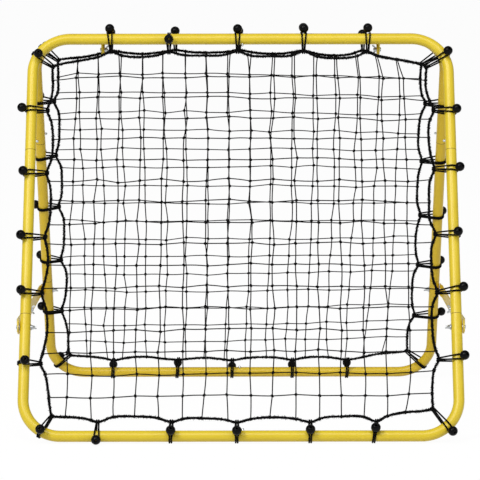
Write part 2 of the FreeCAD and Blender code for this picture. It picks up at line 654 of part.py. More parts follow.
def net_of(hooks, points, pulls):
    """The net: one thin sheet inside the border rope, with a square hole for each mesh and the
    meshes round the edge cut off along its outline."""
    twine, gap = size("twine_diameter"), 2 * CORD_GAP
    outline = moved_in(points, [ROPE + gap] * len(points))
    for index, (hook, pull) in enumerate(zip(hooks, pulls)):
        slant = pull.dot((hook[1] - hook[0]).normalize())
        room = gap * (3 if hook[4] else 1)
        outline[3 * index] = hook[0] - pull * ((ROPE + 2 * CORD + gap) / slant + room)
    inner = moved_in(outline, [twine] * len(outline))
    count = int(size("mesh_count"))
    mesh_width = 2 * (POST_X - size("net_side_inset")) / count
    mesh_height = (TOP_Y - 2 * size("net_bar_inset")) / count
    holes = []
    for column in range(count):
        for row in range(count):
            hole = inner
            for axis, number, centre, pitch in ((0, column, 0, mesh_width), (1, row, TOP_Y / 2, mesh_height)):
                low = centre + (number - count / 2) * pitch + twine / 2
                if number > 0:
                    hole = clipped(hole, axis, low, 1)
                if number < count - 1:
                    hole = clipped(hole, axis, low + pitch - twine, -1)
            if len(hole) > 2:
                holes.append(hole)
    wires = [Part.makePolygon(ring + ring[:1]) for ring in [outline] + holes]
    sheet_face = Part.makeFace(wires, "Part::FaceMakerBullseye")
    net = sheet_face.extrude(Vector(0, 0, twine))
    net.translate(Vector(0, 0, -twine / 2))
    return net, outline


def belt_path(rope, tube, rope_wrap, tube_wrap):
    """One strand of a bungee: a closed loop round the rope and round the tube."""
    way, side = (tube - rope).normalize(), Vector(0, 0, 1)
    dip = (tube_wrap - rope_wrap) / (tube - rope).Length
    rise = math.sqrt(1 - dip * dip)
    upper, lower = side * rise - way * dip, side * -rise - way * dip

    def bend(centre, radius, start, end):
        halfway = (start + end).normalize()
        return Part.Arc(centre + start * radius, centre + halfway * radius, centre + end * radius).toShape()

    return Part.Wire([
        bend(tube, tube_wrap, upper, way), bend(tube, tube_wrap, way, lower),
        Part.makeLine(tube + lower * tube_wrap, rope + lower * rope_wrap),
        bend(rope, rope_wrap, lower, way * -1), bend(rope, rope_wrap, way * -1, upper),
        Part.makeLine(rope + upper * rope_wrap, tube + upper * tube_wrap)])


bored_ball = Part.makeSphere(BALL).cut(
    Part.makeCylinder(size("ball_bore") / 2, 3 * BALL, Vector(0, 0, -1.5 * BALL)))


def ball_place(rope, tube, along, roll, strands):
    """Where a ball rides on its two strands: out on the tube, or past the tube's tangent and part
    of the way down the straight strands to the rope, with its bore square to them."""
    tube_wrap, rope_wrap = TUBE + CORD_GAP + CORD, ROPE + CORD_GAP + CORD
    out, up = (tube - rope).normalize(), Vector(0, 0, 1)
    limit = math.pi / 2 + math.asin((tube_wrap - rope_wrap) / (tube - rope).Length)
    angle = min(math.radians(roll), limit)
    slide = (math.radians(roll) - angle) * tube_wrap
    bore_way = out * math.cos(angle) + up * math.sin(angle)
    onwards = up * math.cos(angle) - out * math.sin(angle)
    clear = BALL + CORD + CORD_GAP
    place = tube + bore_way * (tube_wrap + clear) + onwards * slide
    for _ in range(12):
        first, second = (strand.distToShape(Part.Vertex(place))[0] for strand in strands)
        place += bore_way * (clear - (first + second) / 2) + along * (second - first)
    return FreeCAD.Placement(place, FreeCAD.Rotation(up, bore_way))


def bungee(hook, pull, bend):
    """A bungee's two strands and its bored ball, and the strands' length."""
    rope, tube, outwards, roll, centre = hook
    along = flat(-outwards.y, outwards.x)
    cords, strands, pinch = [], [], size("cord_pinch")
    middle = rope - pull * bend
    room = CORD_GAP * (3 if centre else 1)
    for sign in SIDES.values():
        rope_end = rope + flat(-pull.y, pull.x) * (sign * pinch)
        rope_end -= pull * (bend - math.sqrt(bend * bend - pinch * pinch))
        tube_end, out_here = tube + along * (sign * size("cord_spread")), outwards
        if centre:
            turn = FreeCAD.Rotation(Vector(0, 0, 1), math.degrees(sign * size("cord_spread") / CORNER))
            out_here = turn.multVec(outwards)
            tube_end = centre + out_here * CORNER
        way = (tube_end - rope_end).normalize()
        rope_wrap = (ROPE + room + CORD) / way.dot((rope_end - middle).normalize())
        tube_wrap = (TUBE + CORD_GAP + CORD) / way.dot(out_here)
        strands.append(belt_path(rope_end, tube_end, rope_wrap, tube_wrap))
        cords.append(swept(strands[-1], CORD))
    ball = bored_ball.copy()
    ball.Placement = ball_place(rope, tube, along, roll, strands)
    return cords, ball, sum(strand.Length for strand in strands)


def solid_part(label, shape, placement):
    """A sub-part whose shape is worked out here."""
    feature = doc.addObject("Part::Feature", label)
    feature.Label = label
    feature.Shape = shape
    feature.Placement = placement
    sub_parts.append(feature)


ABOUT_X = (1, 0, 0)
ABOUT_Y = (0, 1, 0)
ABOUT_Z = (0, 0, 1)
brace_bolt_length = ("(Sizes.bar_thickness + 2 * Sizes.washer_thickness + Sizes.tube_diameter"
                     " + Sizes.nut_height + Sizes.thread_end + 5 * Sizes.seat_gap)")
hinge_bolt_length = ("(2 * Sizes.ear_thickness + 2 * Sizes.bar_gap + Sizes.nut_height"
                     " + Sizes.thread_end + 2 * Sizes.seat_gap)")
knee_head_length = "(Sizes.bar_thickness + Sizes.seat_gap - Sizes.bolt_fit)"
knee_stud_length = ("(Sizes.bar_thickness + Sizes.nut_height + Sizes.thread_end + Sizes.seat_gap"
                    " - Sizes.bolt_fit)")

for name, frame in FRAMES.items():
    facing = 1 if name == "front" else -1
    hooks = hooks_of(BUNGEES[name])
    points, radii, pulls = border_of(hooks)
    bolts, washers, clips = [], [], []
    for side, world_sign in SIDES.items():
        sign = world_sign * facing
        swaged = sign < 0
        lower = turned(ABOUT_Y, 180) if swaged else turned(ABOUT_Y, 0)
        upper = turned(ABOUT_Z if swaged else ABOUT_X, 180, (0, TOP_Y, 0))
        corner_tube(f"{name}_{side}_lower_corner_tube", frame.multiply(lower), "Sizes.lower_seam",
                    swaged, "bolt")
        corner_tube(f"{name}_{side}_upper_corner_tube", frame.multiply(upper), UPPER_SEAM_DEPTH,
                    swaged, "button")
        post_turn = turned(ABOUT_Y, 180 if swaged else 0, (sign * POST_X, 0, 0))
        side_post(f"{name}_{side}_post", frame.multiply(post_turn))

        ear_at = size("hinge_offset") + facing * (BAR_GAP + size("ear_thickness") / 2)
        ear_turn = math.degrees(math.atan2(-size("pivot_drop"), facing * size("top_spacing") / 2))
        hinge_ear(f"{name}_{side}_hinge_ear",
                  turned(ABOUT_X, ear_turn, (world_sign * ear_at, -facing * size("top_spacing") / 2, TOP_Z)))

        pivot_y, pivot_z = -facing * BRACE_Y, BRACE_Z
        head_at = PIVOT_PLANE + size("bar_thickness") + SEAT
        pivot = turned(ABOUT_Z, 90 * world_sign, (world_sign * head_at, pivot_y, pivot_z))
        bolts.append(bolt(f"{name}_{side}_brace_bolt", pivot, brace_bolt_length, kept=False))
        outer_washer = POST_X + TUBE + SEAT + size("washer_thickness")
        inner_washer = POST_X - TUBE - SEAT
        nut_at = inner_washer - size("washer_thickness") - SEAT
        for place in (outer_washer, inner_washer):
            spot = (world_sign * place, pivot_y, pivot_z)
            washers.append(washer(f"{name}_{side}_washer", turned(ABOUT_Z, 90 * world_sign, spot)))
        nut_spot = turned(ABOUT_Z, 90 * world_sign, (world_sign * nut_at, pivot_y, pivot_z))
        wing_nut(f"{name}_{side}_brace_wing_nut", nut_spot.multiply(turned(ABOUT_Y, 25 * world_sign)))

        tilt = -BRACE_TILT if name == "front" else 180 + BRACE_TILT
        bar_turn = turned(ABOUT_X, tilt, (world_sign * PIVOT_PLANE, pivot_y, pivot_z))
        if world_sign < 0:
            bar_turn = bar_turn.multiply(turned(ABOUT_Y, 180))
        brace_bar(f"{side}_{name}_brace", bar_turn, FRONT_CRANK if name == "front" else REAR_CRANK)

        post_spot = flat(sign * POST_X, worked_out(POST_BUTTON_AT))
        post_clip = turned((1, 1, 0), 180, post_spot) if swaged else turned(ABOUT_Z, 90, post_spot)
        snap_button(f"{name}_{side}_post_button", frame.multiply(post_clip))
        clips.append(button_clip(f"{name}_{side}_clip", frame.multiply(post_clip)))
    for level, turn, height in (("top", 180, TOP_Y), ("bottom", 0, 0)):
        spot = frame.multiply(turned(ABOUT_X, turn, (size("bar_button"), height, 0)))
        snap_button(f"{name}_{level}_bar_button", spot)
        clips.append(button_clip(f"{name}_{level}_clip", spot))
    grouped(f"{name}_brace_bolts", bolts)
    grouped(f"{name}_brace_washers", washers)
    grouped(f"{name}_button_clips", clips)

    rope_path = ring_of_cord(points, radii)
    solid_part(f"{name}_border_rope", swept(rope_path, ROPE), frame)
    net, outline = net_of(hooks, points, pulls)
    solid_part(f"{name}_net", net, frame)
    print(f"{name} border rope length {rope_path.Length:.0f} mm, net"
          f" {max(p.x for p in outline) - min(p.x for p in outline):.0f} x"
          f" {max(p.y for p in outline) - min(p.y for p in outline):.0f} mm, volume {net.Volume:.0f}")

    floor = Part.makeBox(3000, 3000, 100, Vector(-1500, -1500, -100))
    floor.Placement = frame.inverse()
    standing, hanging, balls, total = [], [], [], 0
    for hook, pull, bend in zip(hooks, pulls, radii[::3]):
        cords, ball, length = bungee(hook, pull, bend)
        total += length
        balls.append(ball)
        if hook[1].y == 0:
            standing.extend(cord.cut(floor) for cord in cords)
        else:
            hanging.extend(cords)
    solid_part(f"{name}_bungee_cords", Part.makeCompound(hanging), frame)
    solid_part(f"{name}_foot_bungee_cords", Part.makeCompound(standing), frame)
    solid_part(f"{name}_bungee_balls", Part.makeCompound(balls), frame)
    print(f"{name} bungee cord length {total:.0f} mm in {len(hooks)} bungees")

hinge_bolts = []
for side, sign in SIDES.items():
    pivot = turned(ABOUT_Z, 90 * sign)
    head_at = size("hinge_offset") + BAR_GAP + size("ear_thickness") + SEAT
    nut_at = size("hinge_offset") - BAR_GAP - size("ear_thickness") - SEAT
    hinge_bolts.append(bolt(f"{side}_hinge_bolt", turned(ABOUT_Z, 90 * sign, (sign * head_at, 0, PIVOT_Z)),
                            hinge_bolt_length, kept=False))
    nut_spot = turned(ABOUT_Z, 90 * sign, (sign * nut_at, 0, PIVOT_Z))
    wing_nut(f"{side}_hinge_wing_nut", nut_spot.multiply(turned(ABOUT_Y, 90)))
    head_at = FRONT_RUN + size("bar_thickness") + SEAT
    bolt(f"{side}_knee_bolt_head", turned(ABOUT_Z, 90 * sign, (sign * head_at, 0, KNEE_Z)), knee_head_length)
    stud_at = REAR_RUN + size("bar_thickness") - size("bolt_fit")
    stud(f"{side}_knee_bolt_stud", turned(ABOUT_Z, 90 * sign, (sign * stud_at, 0, KNEE_Z)), knee_stud_length)
    nut_spot = turned(ABOUT_Z, 90 * sign, (sign * (REAR_RUN - SEAT), 0, KNEE_Z))
    wing_nut(f"{side}_knee_wing_nut", nut_spot.multiply(turned(ABOUT_Y, 70)))
grouped("hinge_bolts", hinge_bolts)

doc.recompute()
for item in doc.Objects:
    if "Invalid" in item.State or "Error" in item.State:
        raise RuntimeError(f"{item.Label}: {item.State}")
os.makedirs("parts", exist_ok=True)
for item in sub_parts:
    if item.Shape.isNull() or not item.Shape.isValid():
        raise RuntimeError(f"{item.Label} has a bad shape")
for item in sub_parts:
    item.Shape.exportStep(f"parts/{item.Label}.step")
print(f"{len(sub_parts)} sub-parts")
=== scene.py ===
import bpy
import bmesh
import math
import random
from mathutils import Matrix, Vector


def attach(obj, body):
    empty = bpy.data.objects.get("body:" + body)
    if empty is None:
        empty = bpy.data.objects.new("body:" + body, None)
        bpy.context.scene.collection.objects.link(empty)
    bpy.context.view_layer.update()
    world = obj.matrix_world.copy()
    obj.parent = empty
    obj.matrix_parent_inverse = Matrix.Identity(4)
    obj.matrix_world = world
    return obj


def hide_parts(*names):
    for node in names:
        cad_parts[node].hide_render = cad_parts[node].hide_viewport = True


# A pitch back rebounder: two yellow tube frames that lean on each other, each strung with a black
# knotted net that ball bungees pull out to the tubes. Lengths are in millimetres, in a frame's
# own plane: x across, y up along the frame from its bottom bar, z out of the A. The rear frame
# is the front one turned half round.

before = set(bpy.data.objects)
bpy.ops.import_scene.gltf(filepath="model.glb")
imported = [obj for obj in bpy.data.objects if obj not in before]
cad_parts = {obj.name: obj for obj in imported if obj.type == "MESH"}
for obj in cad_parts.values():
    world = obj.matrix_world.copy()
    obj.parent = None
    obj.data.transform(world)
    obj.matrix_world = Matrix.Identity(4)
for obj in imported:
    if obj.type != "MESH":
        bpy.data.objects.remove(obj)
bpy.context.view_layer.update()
random.seed(7)

# The tube frame, as in the solids.
TUBE = 12.5  # the tube's radius
POST_X = 487.5  # from the middle to a side post's axis
TOP_Y = 965.0  # from the bottom bar's axis to the top bar's
CORNER = 85.0  # the bends' radius at the tube's axis
SEAMS = (284.15, 683.35)  # where a post meets its corner tubes
LEAN = math.radians(25.8)  # back from upright
TOP_SPACING = 36.0  # between the two top bars' axes
FLOOR_GAP = 3.4  # the cords under the bottom bar
HALF_FEET = TOP_SPACING / 2 + TOP_Y * math.sin(LEAN)
UPRIGHT = Matrix.Rotation(math.radians(90) - LEAN, 4, "X")
FRONT = Matrix.Translation((0, -HALF_FEET, TUBE + FLOOR_GAP)) @ UPRIGHT
FRAMES = {"front": FRONT, "rear": Matrix.Rotation(math.pi, 4, "Z") @ FRONT}
MILLIMETRES = Matrix.Scale(0.001, 4)

# Radii. The real elastic, twine and balls measure 1.8, 1.0 and 10.4 mm, and the knots and ties
# about 3 mm. All of these are drawn thicker, so that they show at their width.
ROPE = 3.0
CORD = 1.95
BALL = 11.0
TWINE = 1.35
KNOT = 4.1
TIE = 4.5

# The border rope: three strands wound round its middle line, one turn in each lay. The slack that
# a strand has at one point carries over to the next.
STRANDS = 3
STRAND = 1.75  # a strand's radius
STRAND_OUT = 1.6  # from the rope's middle line to a strand's
LAY = 14.0
ROPE_STEP = 2.2
SLACK_KEPT = 0.7
SLACK_ADDED = 0.24

# Its loose fibres are as thin as hair on the real rope, and are drawn 0.7 mm thick at the root so
# that they show. Each one leans along the rope and curls at its tip.
FIBRES = 4200
FIBRE = 0.36
FIBRE_TIP = 0.3
FIBRE_ROOT = 2.6
FIBRE_LEAN = (0.4, 1.5)
FIBRE_LENGTH = (1.8, 4.2)
FIBRE_CURL = (-0.6, 0.5)

# The bungee's two strands: how far each runs from their middle line where they lie together and
# where the ball opens them, the length in which they close up past it, and how far each runs
# from the ball's middle where the ball rests on it.
CORD_GAP = 0.1
TOGETHER = 2.2
OPENED = 5.8
CLOSING = 5.0
BALL_SEAT = 5.0
ROPE_WRAP = ROPE + CORD_GAP + CORD
TUBE_WRAP = TUBE + CORD_GAP + CORD
ROPE_WRAP_STEPS = 10
TUBE_WRAP_STEPS = 18
QUARTERS = (0.25, 0.5, 0.75)

# Where the bungees hook, as in the solids. On a straight side: the place on the tube and on the
# border rope, along the side, then how far in from the tube's axis the rope hangs. At a corner:
# the angle round the bend, and the rope's own corner point in from the post and from the bar. The
# last number is how far the ball has rolled over the tube from straight outwards, in degrees.
BUNGEES = {
    "front": {
        "top": [(-307, -305, 31, 8), (-168.5, -168.5, 32, 118), (-7, -7, 30.5, 2),
                (149, 148.5, 31, 6), (299.5, 299, 32, 16)],
        "bottom": [(-321, -319.5, 32, 58), (-156.5, -155, 32, 105), (-9.5, -9, 31, 103),
                   (154, 154.5, 31.5, 110), (297, 302, 32.5, 130)],
        "left": [(785, 784.5, 36, 37), (626, 628, 38.5, 59), (469.5, 471, 38.5, 57),
                 (336, 336, 34.5, 68), (169.5, 169, 35.5, 98)],
        "right": [(780, 783.5, 36.5, 57), (635.5, 637, 39.5, 49), (475, 477, 40.5, 72),
                  (341.5, 336.5, 40.5, 51), (180, 177.5, 41.5, 58)],
        "corners": [("upper", "right", 27.5, 51.5, 71, 70), ("upper", "left", 151.5, 46.5, 69, 100),
                    ("lower", "left", 240.5, 64.5, 46, 86), ("lower", "right", 311.5, 59, 62, 45)],
    },
    "rear": {
        "top": [(-290, -291, 31, 93), (-149, -149.5, 31, 20), (4, 3, 30, 74),
                (155.5, 155, 29.5, 73), (308.5, 307.5, 30.5, 80)],
        "bottom": [(-272.5, -274.5, 37.5, 126), (-131.5, -132, 37, 101), (23.5, 22.5, 36, 90),
                   (164.5, 161, 38.5, 130), (331, 328, 36.5, 103)],
        "left": [(788, 789, 41.5, 82), (631, 629, 44.5, 78), (473, 474, 42, 60),
                 (328, 328.5, 42.5, 56), (176.5, 175.5, 46.5, 33)],
        "right": [(798, 797, 37, 95), (642, 646, 35.5, 91), (498, 500, 36.5, 36),
                  (345, 344, 35.5, 53), (192, 190.5, 31.5, 42)],
        "corners": [("upper", "right", 41, 52, 56, 98), ("upper", "left", 148, 56, 68, 100),
                    ("lower", "left", 223, 62, 64, 57), ("lower", "right", 320.5, 47, 53, 94)],
    },
}

# How deep the border rope hangs in from the straight line between two bungees, at a fifth, a half
# and four fifths of the span. The spans run round from the left post's middle, down it first.
SAGS = {
    "front": [(7, 11, 6), (9.5, 15, 8), (6, 5, 1), (1.5, 4.5, 4), (12, 13.5, 10), (9, 9.5, 7),
              (8.5, 12, 8), (10.5, 13, 12), (7, 7, 1), (4, 8, 8), (10, 14, 12.5), (9, 12.5, 10),
              (13, 14, 11.5), (7.5, 13, 11), (6, 10, 5), (-2, 1, 5), (13.5, 17.5, 13),
              (11.5, 13, 11.5), (9.5, 10.5, 8.5), (9, 14, 10.5), (5.5, 3.5, 0), (2.5, 7, 5),
              (10.5, 14.5, 10.5), (9, 12, 8.5)],
    "rear": [(6.5, 10, 6.5), (10, 11, 7.5), (7.5, 8.5, 3.5), (2, 4.5, 1), (5, 9.5, 7),
             (6.5, 9.5, 6.5), (3.5, 7, 3.5), (3, 10, 7.5), (3, 3.5, 1), (1, 6, 4.5),
             (8, 14, 12.5), (7.5, 11.5, 11), (8.5, 12, 11), (8, 11.5, 11), (7.5, 6, 2.5),
             (1, 4.5, 3), (6, 10, 5), (5, 7, 5), (6, 9.5, 6.5), (8.5, 14, 10), (4.5, 4, 1.5),
             (4.5, 8, 6.5), (10, 13, 10), (7, 10, 8.5)],
}
SAG_SHARES = (0.2, 0.5, 0.8)
# At a bungee, the rope turns within this length to each side, and rises this far into the turn.
# The last value is how much of the way to the next point its curve keeps straight on.
TURN = 7.0
TURN_RISE = 0.4
STRAIGHT_ON = 0.36

# The net: its lines each way, how far apart they are knotted across and up, and its first knot.
NET_LINES = 16
MESH_WIDTH = 51.4
MESH_HEIGHT = 51.6
FIRST_KNOT = {"front": (-388.5, 94.5), "rear": (-381.0, 96.0)}
# How the knots drift from an even grid, with s across and t up, both from -1 to 1. The front net
# swells a little at half height, and its rows droop at both ends. The rear net's rows close up
# towards its own left, and its lower part is drawn to its own right.
DRIFTS = {
    "front": lambda s, t: (1.5 * t - 2.0 * s * t * t, -2.0 * s * t - 3.0 * s * s),
    "rear": lambda s, t: (4.5 * t * t - 4.9 * t, 7.0 * s * t - 6.0 * s * s * t),
}
# The side, 1 or -1, where the ends of the upright lines are drawn in to the middle. Ends are
# drawn in past a share of the way to the net's edge, the first number, and at the edge by the
# second number. The right ends of the upper rows are drawn down in the same way.
SLANTS = {"front": 1, "rear": -1}
LOWER_DRAW = (0.8, 9.0)
UPPER_DRAW = (0.5, 15.0)
RIGHT_DRAW = (0.7, 6.0)
# How unevenly the net is tied: the knots' spread across, up and out of the net, the ends' spread
# along the rope, and the spread of the twine's bow between two knots, in the net and out of it.
KNOT_SPREAD = (1.9, 2.0, 0.5)
END_SPREAD = 2.5
BOW_SPREAD = (0.4, 0.5)


def hex_colour(code):
    """An sRGB hex colour as the linear values that shaders take."""
    parts = [int(code[i:i + 2], 16) / 255 for i in (1, 3, 5)]
    return [c / 12.92 if c <= 0.04045 else ((c + 0.055) / 1.055) ** 2.4 for c in parts] + [1.0]


def add(tree, kind, inputs=None, **options):
    """Adds a node, with its options set and its inputs given a value or joined to an output."""
    node = tree.nodes.new(kind)
    for name, value in options.items():
        setattr(node, name, value)
    for name, value in (inputs or {}).items():
        if isinstance(value, bpy.types.NodeSocket):
            tree.links.new(value, node.inputs[name])
        else:
            node.inputs[name].default_value = value
    return node


def new_material(name, roughness, metallic=0.0, **sockets):
    """A new material, with its shader's plain values set, its node tree and its shader."""
    material = bpy.data.materials.new(name)
    material.use_nodes = True
    tree = material.node_tree
    shader = tree.nodes["Principled BSDF"]
    shader.inputs["Roughness"].default_value = roughness
    shader.inputs["Metallic"].default_value = metallic
    for socket, value in sockets.items():
        shader.inputs[socket.replace("_", " ")].default_value = value
    return material, tree, shader


def mottled(tree, shader, dark, light, size_mm):
    """Drifts the colour between two close shades, over patches of a real size. Gives back the
    place that the pattern is read from."""
    place = add(tree, "ShaderNodeTexCoord").outputs["Object"]
    noise = add(tree, "ShaderNodeTexNoise",
                {"Vector": place, "Scale": 1000 / size_mm, "Detail": 3.0})
    ramp = add(tree, "ShaderNodeValToRGB", {"Fac": noise.outputs["Fac"]})
    for end, position, code in zip(ramp.color_ramp.elements, (0.35, 0.65), (dark, light)):
        end.position = position
        end.color = hex_colour(code)
    tree.links.new(ramp.outputs["Color"], shader.inputs["Base Color"])
    return place


def bumped(tree, shader, place, size_mm, depth_mm, strength=1.0, kind="noise"):
    """A fine relief of a real size and depth on the surface: grains, or the cells of a braid."""
    scale = 1000 / size_mm
    if kind == "noise":
        relief = add(tree, "ShaderNodeTexNoise", {"Vector": place, "Scale": scale, "Detail": 2.0})
    else:
        relief = add(tree, "ShaderNodeTexVoronoi", {"Vector": place, "Scale": scale})
    height = relief.outputs["Fac" if kind == "noise" else "Distance"]
    bump = add(tree, "ShaderNodeBump",
               {"Height": height, "Strength": strength, "Distance": depth_mm / 1000})
    tree.links.new(bump.outputs["Normal"], shader.inputs["Normal"])


def powder_coat(name, dark, light):
    """Half gloss polyester powder coat on steel tube, sprayed and baked: a warm yellow skin with
    a soft wide highlight and the faint orange peel of the baked powder."""
    material, tree, shader = new_material(name, 0.42, Specular_IOR_Level=0.4, Coat_Weight=0.25,
                                          Coat_Roughness=0.28)
    place = mottled(tree, shader, dark, light, 90)
    # Orange peel is under 1 mm across on the real tube, and is drawn 2.5 mm wide so that it shows.
    bumped(tree, shader, place, 2.5, 0.02, 0.5)
    return material


# The rear frame's copy of the coat is a touch warmer and darker: painted shade of the rear frame,
# which stands further back from the lamps.
yellow_front = powder_coat("yellow powder coat", "#E0C424", "#E5CA2C")
yellow_rear_shaded = powder_coat("yellow powder coat with painted shade, rear frame", "#E2BF20", "#E6C428")


def zinc_plate():
    """Bright zinc plated steel, barrel plated: a cool grey metal, cloudy rather than mirror
    bright, with a soft satin reflection."""
    material, tree, shader = new_material("zinc plated steel", 0.36, 1.0)
    place = mottled(tree, shader, "#B4B8BB", "#D2D5D6", 3)
    # The plate's grain is under 0.1 mm across, and is drawn 0.8 mm wide so that it shows.
    bumped(tree, shader, place, 0.8, 0.02, 0.4)
    return material


def spring_strip():
    """Blued spring steel strip, rolled: darker and smoother than the zinc."""
    material, tree, shader = new_material("rolled spring steel", 0.4, 1.0)
    mottled(tree, shader, "#5E6266", "#72777B", 5)
    return material


def moulded_plastic():
    """Injection moulded polypropylene, black: half gloss, with one small faint highlight."""
    material, tree, shader = new_material("moulded black polypropylene", 0.3, IOR=1.49,
                                          Specular_IOR_Level=0.11)
    place = mottled(tree, shader, "#040405", "#08080A", 4)
    # The mould's grain is under 0.2 mm across, and is drawn 0.9 mm wide so that it shows.
    bumped(tree, shader, place, 0.9, 0.015, 0.5)
    return material


def braided_elastic():
    """Braided polyester sleeve over rubber, black: dull, with the braid's small crossing ribs."""
    material, tree, shader = new_material("braided black elastic", 0.75, Specular_IOR_Level=0.08)
    place = mottled(tree, shader, "#040405", "#0B0B0C", 1.1)
    # The real braid's ribs are about 0.5 mm wide, and are drawn 0.9 mm wide so that they show.
    bumped(tree, shader, place, 0.9, 0.12, 0.8, "cells")
    return material


def laid_rope():
    """Laid polypropylene rope, black: three twisted strands of loose fibre, dull and fuzzy."""
    material, tree, shader = new_material("laid black polypropylene rope", 0.85,
                                          Specular_IOR_Level=0.08)
    place = mottled(tree, shader, "#040405", "#0F0F11", 0.8)
    # The real rope's fibres are under 0.1 mm thick, and are drawn 0.7 mm wide so that they show.
    bumped(tree, shader, place, 0.7, 0.18, 0.9)
    return material


def net_twine():
    """Twisted polyethylene net twine, black: thin, hard and slightly waxy."""
    material, tree, shader = new_material("twisted black polyethylene twine", 0.6,
                                          Specular_IOR_Level=0.08)
    place = mottled(tree, shader, "#040405", "#0B0B0C", 0.9)
    # The real twine's yarns are about 0.5 mm wide, and are drawn 0.8 mm wide so that they show.
    bumped(tree, shader, place, 0.8, 0.08, 0.8)
    return material


def painted_seam_shade():
    """Painted shade of the gap at a tube seam, with the cut edge of the steel tube where the powder
    coat stops: dull and dark brown.
    """
    material, tree, shader = new_material("painted shade of a tube seam", 0.7)
    mottled(tree, shader, "#6E5512", "#8A6E1A", 6)
    return material


zinc = zinc_plate()
seam_gap_shade = painted_seam_shade()
strip = spring_strip()
plastic = moulded_plastic()
elastic = braided_elastic()
rope_fibre = laid_rope()
twine = net_twine()

for name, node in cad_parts.items():
    if name.endswith(("_tube", "_post", "_ear", "_brace")):
        # The rear frame takes the coat's copy with painted shade.
        finish = yellow_rear_shaded if "rear" in name else yellow_front
    elif name.endswith("_clips"):
        finish = strip
    elif name.endswith("_balls"):
        finish = plastic
    elif name.endswith("_cords"):
        finish = elastic
    elif name.endswith("_rope"):
        finish = rope_fibre
    elif name.endswith("_net"):
        finish = twine
    else:
        finish = zinc
    node.data.materials.clear()
    node.data.materials.append(finish)


def finished(name, mesh, material, body, slot, *nodes, smooth=True):
    """Makes a mesh a piece that rides on a body and stands for the named CAD nodes."""
    mesh.name = name
    mesh.materials.clear()
    mesh.materials.append(material)
    for face in mesh.polygons:
        face.use_smooth = smooth
    piece = bpy.data.objects.new(name, mesh)
    bpy.context.scene.collection.objects.link(piece)
    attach(piece, body)
    if nodes:
        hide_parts(*nodes)


def mesh_of_curve(curve):
    """The mesh that a curve makes. The curve itself is removed."""
    holder = bpy.data.objects.new(curve.name, curve)
    bpy.context.scene.collection.objects.link(holder)
    bpy.context.view_layer.update()
    evaluated = holder.evaluated_get(bpy.context.evaluated_depsgraph_get())
    mesh = bpy.data.meshes.new_from_object(evaluated)
    bpy.data.objects.remove(holder)
    bpy.data.curves.remove(curve)
    return mesh


def mesh_of_shape(shape):
    """The mesh of a finished bmesh. The bmesh itself is freed."""
    mesh = bpy.data.meshes.new("shape")
    shape.to_mesh(mesh)
    shape.free()
    return mesh


def mesh_of_lines(lines, radius, roundness, closed, tip=1.0):
    """A mesh of round cords along lines of points. The last point of a line may be thinner."""
    curve = bpy.data.curves.new("cord line", "CURVE")
    curve.dimensions = "3D"
    curve.bevel_depth = radius
    curve.bevel_resolution = roundness
    curve.use_fill_caps = not closed
    for line in lines:
        spline = curve.splines.new("POLY")
        spline.points.add(len(line) - 1)
        for point, place in zip(spline.points, line):
            point.co = (*place, 1.0)
        spline.points[-1].radius = tip
        spline.use_cyclic_u = closed
    return mesh_of_curve(curve)


def ring_through(knots):
    """Points along a smooth closed curve that is given by (point, way, reach back, reach on)."""
    curve = bpy.data.curves.new("route", "CURVE")
    curve.dimensions = "3D"
    curve.resolution_u = 10
    spline = curve.splines.new("BEZIER")
    spline.bezier_points.add(len(knots) - 1)
    for point, (place, way, back, on) in zip(spline.bezier_points, knots):
        point.co = place
        point.handle_left_type = point.handle_right_type = "FREE"
        point.handle_left = place - way * back
        point.handle_right = place + way * on
    spline.use_cyclic_u = True
    mesh = mesh_of_curve(curve)
    points = [vertex.co.copy() for vertex in mesh.vertices]
    bpy.data.meshes.remove(mesh)
    return points


def flat(x, y, z=0.0):
    """A point or a way in a frame's own axes, and in its plane unless z is given."""
    return Vector((x, y, z))


def hooks_of(places):
    """Each bungee in turn round a frame: the rope's point, the tube's point, the way out through
    the tube, and the ball's roll in degrees."""
    hooks = []
    for side, height, sign in (("bottom", 0, -1), ("top", TOP_Y, 1)):
        for on_tube, on_rope, draw, roll in places[side]:
            rope, tube = flat(on_rope, height - sign * draw), flat(on_tube, height)
            hooks.append((rope, tube, flat(0, sign), roll))
    for side, sign in (("left", -1), ("right", 1)):
        for on_tube, on_rope, draw, roll in places[side]:
            rope, tube = flat(sign * (POST_X - draw), on_rope), flat(sign * POST_X, on_tube)
            hooks.append((rope, tube, flat(sign, 0), roll))
    for level, side, angle, from_post, from_bar, roll in places["corners"]:
        sign, high = (-1 if side == "left" else 1), level == "upper"
        centre = flat(sign * (POST_X - CORNER), TOP_Y - CORNER if high else CORNER)
        way = flat(math.cos(math.radians(angle)), math.sin(math.radians(angle)))
        rope = flat(sign * (POST_X - from_post), TOP_Y - from_bar if high else from_bar)
        hooks.append((rope, centre + way * CORNER, way, roll))
    hooks.sort(key=lambda hook: math.atan2(hook[0].y - TOP_Y / 2, hook[0].x))
    return hooks


def rope_route(hooks, sags):
    """The border rope's line, pointed where a bungee pulls it out and slack in between, and the
    way that each bungee pulls it."""
    dips = []
    for hook, following, depths in zip(hooks, hooks[1:] + hooks[:1], sags):
        run = following[0] - hook[0]
        inwards = flat(-run.y, run.x).normalized()
        dips.append([hook[0] + run * share + inwards * depth
                     for share, depth in zip(SAG_SHARES, depths)])
    spots, pulls = [], []
    for index, hook in enumerate(hooks):
        here = hook[0]
        back, on = (dips[index - 1][-1] - here).normalized(), (dips[index][0] - here).normalized()
        pull = -(back + on).normalized()
        pulls.append(pull)
        spots += [here + back * TURN + pull * TURN_RISE, here, here + on * TURN + pull * TURN_RISE]
        spots += dips[index]
    knots = []
    for before, here, after in zip(spots[-1:] + spots[:-1], spots, spots[1:] + spots[:1]):
        back, on = here - before, after - here
        way = (back.normalized() + on.normalized()).normalized()
        knots.append((here, way, back.length * STRAIGHT_ON, on.length * STRAIGHT_ON))
    return ring_through(knots), pulls


